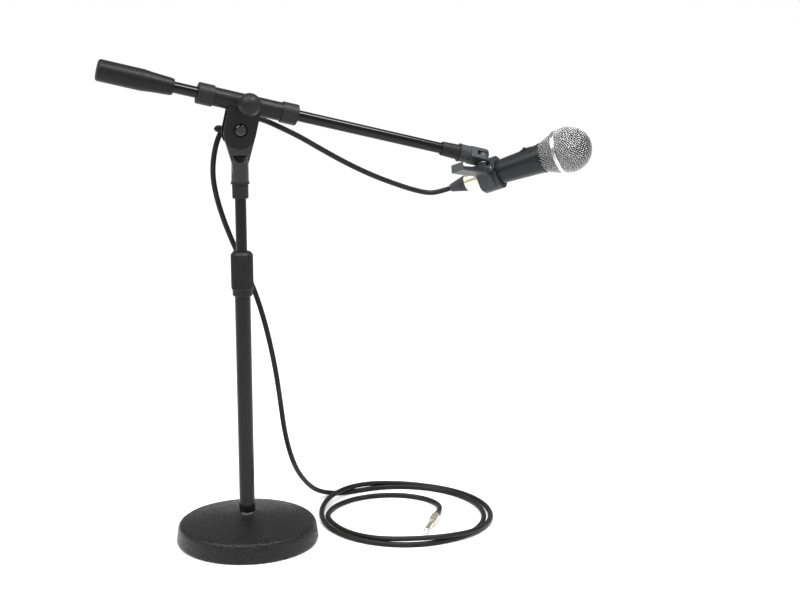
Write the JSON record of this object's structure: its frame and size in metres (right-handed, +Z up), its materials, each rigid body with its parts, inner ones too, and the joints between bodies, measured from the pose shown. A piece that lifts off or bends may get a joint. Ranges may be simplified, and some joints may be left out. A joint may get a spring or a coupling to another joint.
{
  "type": "short boom microphone stand with microphone",
  "caption": "Short round-base boom stand with telescoping column, tilting sliding boom, spring clip, handheld microphone with wire grille, and cable with coil and phone plug.",
  "frame": {"origin": "on the floor, on the axis of the stand's column", "axes": "+Z up along the column; the boom lies over the XZ plane and its front end, with the clip and microphone, points towards +X"},
  "size_m": [0.5576, 0.233, 0.5562],
  "materials": {
    "base_paint": "black hammertone enamel on cast iron",
    "foot_rubber": "matte",
    "zinc_steel": "zinc plated",
    "tube_black": "satin black powder coat",
    "matte_black_plastic": "fine matte texture",
    "nylon": "natural nylon",
    "matte_black_metal": "matte black powder coat",
    "gloss_black_metal": "gloss black enamel",
    "fibre": "pressed fibre",
    "grip_rubber": "matte moulded",
    "brass": "turned",
    "clip_plastic": "dark grey, fine matte",
    "pad_rubber": "matte",
    "satin_black_aluminium": "satin black enamel on aluminium",
    "grille_wire": "woven steel wire, bright plated",
    "bright_band": "polished",
    "foam": "open-cell foam",
    "capsule_steel": "drawn",
    "insulator": "moulded",
    "pin_brass": "plated",
    "switch_plastic": "moulded",
    "satin_nickel": "satin plated",
    "boot_rubber": "matte",
    "cable_jacket": "satin PVC",
    "plug_plating": "bright nickel plate"
  },
  "bodies": {
    "stand": {"base_casting": "base_paint", "base_feet": "foot_rubber", "base_nut": "zinc_steel", "base_stud": "zinc_steel", "lower_tube": "tube_black", "column_insert": "zinc_steel", "clutch_core": "matte_black_plastic", "clutch_collet": "nylon", "cable_lead": "cable_jacket", "cable_tail": "cable_jacket", "cable_coil": "cable_jacket", "plug_relief": "boot_rubber", "plug_barrel": "satin_nickel", "plug_sleeve": "plug_plating", "plug_insulator": "insulator", "plug_tip": "plug_plating"},
    "clutch": {"clutch_sleeve": "matte_black_plastic"},
    "column_slider": {"column_bush": "nylon"},
    "upper_column": {"upper_tube": "tube_black", "column_collar": "matte_black_metal", "collar_lip": "matte_black_metal", "swivel_head": "gloss_black_metal"},
    "clamp": {"clamp_bracket": "gloss_black_metal", "tbar_tube": "gloss_black_metal", "boom_bush_rear": "matte_black_metal", "boom_bush_front": "matte_black_metal", "friction_discs": "fibre", "pivot_bolt": "gloss_black_metal"},
    "wing": {"wing_nut": "matte_black_plastic"},
    "knob": {"clamp_knob": "matte_black_plastic", "clamp_screw": "zinc_steel"},
    "boom": {"boom_tube": "tube_black", "boom_grip": "grip_rubber", "boom_ferrule": "matte_black_metal"},
    "fork": {"fork_barrel": "clip_plastic", "fork_insert": "brass", "hinge_screw": "zinc_steel", "hinge_nut": "zinc_steel"},
    "clip": {"clip_jaw_fixed": "clip_plastic", "pad_fixed": "pad_rubber", "clip_pin": "zinc_steel"},
    "clip_lever": {"clip_jaw_moving": "clip_plastic", "pad_moving": "pad_rubber"},
    "mic": {"mic_handle": "satin_black_aluminium", "grille_collar": "satin_black_aluminium", "grille_cone": "grille_wire", "grille_band": "bright_band", "grille_dome": "grille_wire", "foam_liner": "foam", "capsule": "capsule_steel", "shock_mount": "pad_rubber", "xlr_socket": "insulator", "xlr_pins": "pin_brass", "switch_plate": "matte_black_metal", "connector_shell": "satin_nickel", "connector_insert": "insulator", "connector_boot": "boot_rubber"},
    "switch": {"switch_button": "switch_plastic"},
    "latch": {"latch_button": "satin_nickel"}
  },
  "joints": [
    {"name": "clutch_twist", "type": "hinge", "parent": "stand", "child": "clutch", "pos_m": [0, 0, 0.32], "axis": [0, 0, 1], "range_deg": [0, 120]},
    {"name": "column_slide", "type": "slide", "parent": "stand", "child": "column_slider", "axis": [0, 0, 1], "range_m": [-0.045, 0.17], "deforming": ["cable_lead"]},
    {"name": "column_turn", "type": "hinge", "parent": "column_slider", "child": "upper_column", "pos_m": [0, 0, 0.4], "axis": [0, 0, 1], "continuous": true},
    {"name": "boom_tilt", "type": "hinge", "parent": "upper_column", "child": "clamp", "pos_m": [0, 0, 0.478], "axis": [0, 1, 0], "range_deg": [-75, 50]},
    {"name": "wing_turn", "type": "hinge", "parent": "clamp", "child": "wing", "pos_m": [0, 0.022, 0.478], "axis": [0, 1, 0], "range_deg": [0, 360]},
    {"name": "knob_turn", "type": "hinge", "parent": "clamp", "child": "knob", "pos_m": [0.00698, 0, 0.50718], "axis": [0, -1, 0], "range_deg": [0, 360]},
    {"name": "boom_slide", "type": "slide", "parent": "clamp", "child": "boom", "axis": [0.9726, 0, -0.2326], "range_m": [-0.15, 0.024]},
    {"name": "clip_turn", "type": "hinge", "parent": "boom", "child": "fork", "pos_m": [0.28757, 0, 0.44007], "axis": [0.9726, 0, -0.2326], "range_deg": [-90, 90]},
    {"name": "clip_tilt", "type": "hinge", "parent": "fork", "child": "clip", "pos_m": [0.28757, 0, 0.44007], "axis": [-0.1806, -0.63, -0.7553], "range_deg": [-40, 50]},
    {"name": "jaw_open", "type": "hinge", "parent": "clip", "child": "clip_lever", "pos_m": [0.28707, -0.00826, 0.42606], "axis": [-0.7251, 0.6041, -0.3305], "range_deg": [0, 15], "stiffness_Nm_per_rad": 0.6, "springref_deg": -20.05},
    {"name": "mic_slide", "type": "slide", "parent": "clip", "child": "mic", "axis": [0.7251, -0.6041, 0.3305], "range_m": [0, 0.04]},
    {"name": "switch_slide", "type": "slide", "parent": "mic", "child": "switch", "axis": [0.7251, -0.6041, 0.3305], "range_m": [0, 0.004]},
    {"name": "latch_press", "type": "slide", "parent": "mic", "child": "latch", "axis": [-0.6818, -0.6974, 0.221], "range_m": [0, 0.0008], "stiffness_N_per_m": 600, "springref_m": -0.001}
  ]
}
